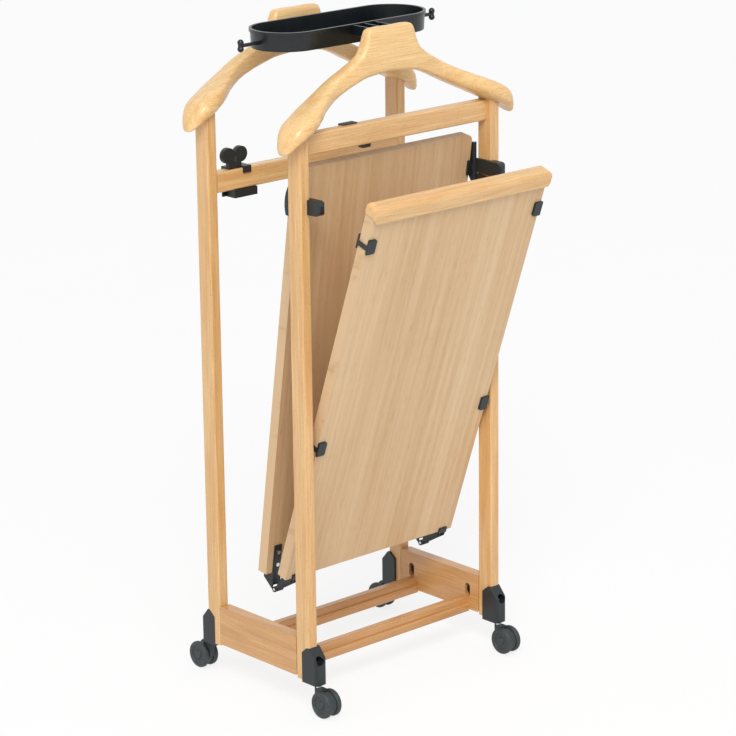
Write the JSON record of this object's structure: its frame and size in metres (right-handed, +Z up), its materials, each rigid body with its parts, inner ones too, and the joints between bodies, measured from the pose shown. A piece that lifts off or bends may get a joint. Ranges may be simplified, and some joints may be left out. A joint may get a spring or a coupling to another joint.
{
  "type": "clothes valet stand",
  "caption": "Wooden clothes valet stand on casters, with hanger shoulders, a tray for small things, a hinged trouser press and low shoe rails.",
  "frame": {"origin": "on the floor, under the middle of the whole stand with its press open", "axes": "+Z up, +Y to the rear, +X to the stand's left as it faces forward, which is the right of someone facing its front"},
  "size_m": [0.482, 0.4404, 1.0705],
  "materials": {
    "beech": "oiled, satin",
    "plywood": "satin",
    "black_plastic": "fine grain, matt",
    "wheel_plastic": "matt",
    "zinc": "zinc plated"
  },
  "bodies": {
    "frame": {"post_front_left": "beech", "post_front_right": "beech", "post_rear_left": "beech", "post_rear_right": "beech", "side_board_left": "beech", "side_board_right": "beech", "shoe_rail_front": "beech", "shoe_rail_rear": "beech", "upper_rail_front": "beech", "upper_rail_rear": "beech", "rail_dowels": "beech", "hanger_front": "beech", "hanger_rear": "beech", "hanger_dowels": "beech", "tray": "black_plastic", "tray_screws": "zinc", "boot_front_left": "black_plastic", "boot_front_right": "black_plastic", "boot_rear_left": "black_plastic", "boot_rear_right": "black_plastic", "frame_bolts": "zinc", "barrel_nuts": "zinc", "press_back_board": "plywood", "press_bracket_left": "black_plastic", "press_bracket_right": "black_plastic", "bracket_screws": "zinc", "latch_pins": "zinc", "hinge_back_leaf_left": "black_plastic", "hinge_back_leaf_right": "black_plastic", "hinge_pins": "zinc", "back_leaf_screws": "zinc", "rail_hook": "black_plastic", "rail_clip": "black_plastic"},
    "caster_front_left": {"caster_body_front_left": "black_plastic", "caster_stem_front_left": "zinc"},
    "caster_front_right": {"caster_body_front_right": "black_plastic", "caster_stem_front_right": "zinc"},
    "caster_rear_left": {"caster_body_rear_left": "black_plastic", "caster_stem_rear_left": "zinc"},
    "caster_rear_right": {"caster_body_rear_right": "black_plastic", "caster_stem_rear_right": "zinc"},
    "wheels_front_left": {"caster_wheels_front_left": "wheel_plastic", "caster_axle_front_left": "zinc"},
    "wheels_front_right": {"caster_wheels_front_right": "wheel_plastic", "caster_axle_front_right": "zinc"},
    "wheels_rear_left": {"caster_wheels_rear_left": "wheel_plastic", "caster_axle_rear_left": "zinc"},
    "wheels_rear_right": {"caster_wheels_rear_right": "wheel_plastic", "caster_axle_rear_right": "zinc"},
    "latch_left": {"latch_lever_left": "black_plastic"},
    "latch_right": {"latch_lever_right": "black_plastic"},
    "press_front": {"hinge_front_leaf_left": "black_plastic", "hinge_front_leaf_right": "black_plastic", "front_leaf_screws": "zinc", "press_front_board": "plywood", "press_cap_rail": "beech", "press_pads": "black_plastic"}
  },
  "joints": [
    {"name": "press_hinge", "type": "hinge", "parent": "frame", "child": "press_front", "pos_m": [0, 0.0522, 0.163], "axis": [-1, 0, 0], "range_deg": [0, 11.8]},
    {"name": "latch_left_hinge", "type": "hinge", "parent": "frame", "child": "latch_left", "pos_m": [-0.1874, -0.0438, 0.817], "axis": [0, 0, 1], "range_deg": [0, 5.8]},
    {"name": "latch_right_hinge", "type": "hinge", "parent": "frame", "child": "latch_right", "pos_m": [0.1874, -0.0438, 0.817], "axis": [0, 0, -1], "range_deg": [0, 5.8]},
    {"name": "swivel_front_left", "type": "hinge", "parent": "frame", "child": "caster_front_left", "pos_m": [-0.1987, -0.0873, 0.045], "axis": [0, 0, 1], "continuous": true},
    {"name": "roll_front_left", "type": "hinge", "parent": "caster_front_left", "child": "wheels_front_left", "pos_m": [-0.1987, -0.1048, 0.022], "axis": [1, 0, 0], "continuous": true},
    {"name": "swivel_front_right", "type": "hinge", "parent": "frame", "child": "caster_front_right", "pos_m": [0.1987, -0.0873, 0.045], "axis": [0, 0, 1], "continuous": true},
    {"name": "roll_front_right", "type": "hinge", "parent": "caster_front_right", "child": "wheels_front_right", "pos_m": [0.1987, -0.1048, 0.022], "axis": [1, 0, 0], "continuous": true},
    {"name": "swivel_rear_left", "type": "hinge", "parent": "frame", "child": "caster_rear_left", "pos_m": [-0.1987, 0.1807, 0.045], "axis": [0, 0, 1], "continuous": true},
    {"name": "roll_rear_left", "type": "hinge", "parent": "caster_rear_left", "child": "wheels_rear_left", "pos_m": [-0.1987, 0.1982, 0.022], "axis": [1, 0, 0], "continuous": true},
    {"name": "swivel_rear_right", "type": "hinge", "parent": "frame", "child": "caster_rear_right", "pos_m": [0.1987, 0.1807, 0.045], "axis": [0, 0, 1], "continuous": true},
    {"name": "roll_rear_right", "type": "hinge", "parent": "caster_rear_right", "child": "wheels_rear_right", "pos_m": [0.1987, 0.1982, 0.022], "axis": [1, 0, 0], "continuous": true}
  ]
}
